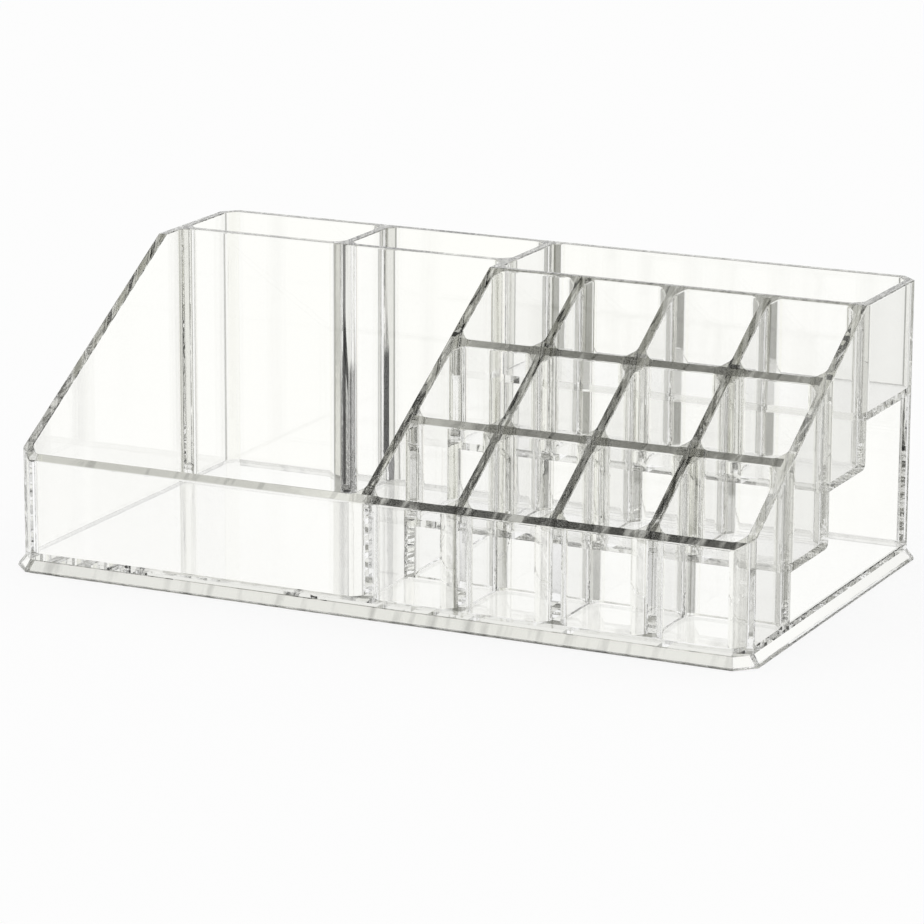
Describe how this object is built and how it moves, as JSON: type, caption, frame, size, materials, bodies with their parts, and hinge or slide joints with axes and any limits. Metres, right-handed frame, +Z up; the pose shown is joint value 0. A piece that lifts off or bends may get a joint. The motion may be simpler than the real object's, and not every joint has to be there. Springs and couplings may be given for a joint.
{
  "type": "vanity organizer",
  "caption": "Clear plastic vanity organizer: a low tray, tall pockets, stepped square cells under a sloping rim, a rear trough and a bevelled base skirt.",
  "frame": {"origin": "centre of the underside of the base plate, on the surface that the organizer stands on", "axes": "+Z up, +Y towards the tall back, -Y towards the low front, +X towards the stepped cells on the right as seen from the front"},
  "size_m": [0.2238, 0.1282, 0.081],
  "materials": {
    "clear_plastic": "clear moulded polystyrene or acrylic sheet, polished on every face",
    "clear_plastic_webs": "the same clear plastic in the inside corners, where it looks greyer because it is thicker"
  },
  "bodies": {
    "root": {"base_plate": "clear_plastic", "front_wall": "clear_plastic", "back_wall": "clear_plastic", "left_end_wall": "clear_plastic", "middle_wall": "clear_plastic", "right_end_wall": "clear_plastic", "pocket_front_wall": "clear_plastic", "pocket_partition": "clear_plastic", "trough_front_wall": "clear_plastic", "trough_floor": "clear_plastic", "middle_row_floor": "clear_plastic", "back_row_floor": "clear_plastic", "front_cross_wall": "clear_plastic", "rear_cross_wall": "clear_plastic", "divider_left": "clear_plastic", "divider_centre": "clear_plastic", "divider_right": "clear_plastic", "tray_corner_webs": "clear_plastic_webs", "left_pocket_corner_webs": "clear_plastic_webs", "right_pocket_corner_webs": "clear_plastic_webs", "trough_corner_webs": "clear_plastic_webs", "front_row_corner_webs": "clear_plastic_webs", "middle_row_corner_webs": "clear_plastic_webs", "back_row_corner_webs": "clear_plastic_webs"}
  },
  "joints": []
}
